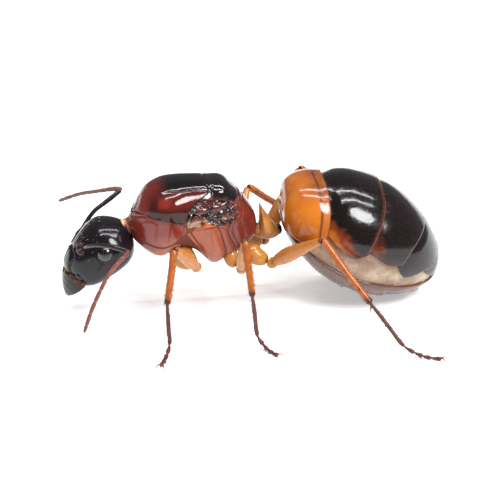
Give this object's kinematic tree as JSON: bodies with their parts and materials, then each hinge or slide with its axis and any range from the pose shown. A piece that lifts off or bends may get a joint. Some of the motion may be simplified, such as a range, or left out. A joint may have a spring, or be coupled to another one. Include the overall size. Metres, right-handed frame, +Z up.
{
  "type": "carpenter ant queen",
  "caption": "Life-size standing carpenter ant queen: hanging head with elbowed antennae, humped wingless trunk, upright waist scale and large banded gaster on splayed legs.",
  "frame": {"origin": "on the floor under the middle of the bounding box", "axes": "+X from head to gaster, +Z up; the ant's left side lies along -Y"},
  "size_m": [0.0178, 0.0149, 0.0065],
  "materials": {
    "jet_shell": "polished black cuticle with fine sculpture",
    "eye": "compound eye of fine facets",
    "red_shell": "glossy red-brown cuticle",
    "back_shell": "polished dark cuticle with red-brown flanks",
    "amber_shell": "translucent amber cuticle",
    "wine_shell": "dark red-brown cuticle",
    "gaster_shell": "polished cuticle, amber in front and black-brown behind",
    "membrane": "pale translucent joint and side membrane",
    "hair": "short stiff golden-brown hairs"
  },
  "bodies": {
    "root": {"head": "jet_shell", "eye_left": "eye", "mandible_left": "jet_shell", "scape_left": "jet_shell", "flagellum_left": "wine_shell", "eye_right": "eye", "mandible_right": "jet_shell", "scape_right": "jet_shell", "flagellum_right": "wine_shell", "pronotum": "red_shell", "scutum": "back_shell", "scutellum": "back_shell", "mesopleuron": "red_shell", "propodeum": "red_shell", "petiole": "amber_shell", "gaster_1": "gaster_shell", "gaster_2": "gaster_shell", "gaster_3": "gaster_shell", "gaster_4": "gaster_shell", "gaster_5": "gaster_shell", "left_fore_coxa": "amber_shell", "left_fore_femur": "amber_shell", "left_fore_tibia": "amber_shell", "left_fore_tarsus": "wine_shell", "left_mid_coxa": "amber_shell", "left_mid_femur": "amber_shell", "left_mid_tibia": "amber_shell", "left_mid_tarsus": "wine_shell", "left_hind_coxa": "amber_shell", "left_hind_femur": "amber_shell", "left_hind_tibia": "amber_shell", "left_hind_tarsus": "wine_shell", "right_fore_coxa": "amber_shell", "right_fore_femur": "amber_shell", "right_fore_tibia": "amber_shell", "right_fore_tarsus": "wine_shell", "right_mid_coxa": "amber_shell", "right_mid_femur": "amber_shell", "right_mid_tibia": "amber_shell", "right_mid_tarsus": "wine_shell", "right_hind_coxa": "amber_shell", "right_hind_femur": "amber_shell", "right_hind_tibia": "amber_shell", "right_hind_tarsus": "wine_shell"}
  },
  "joints": []
}
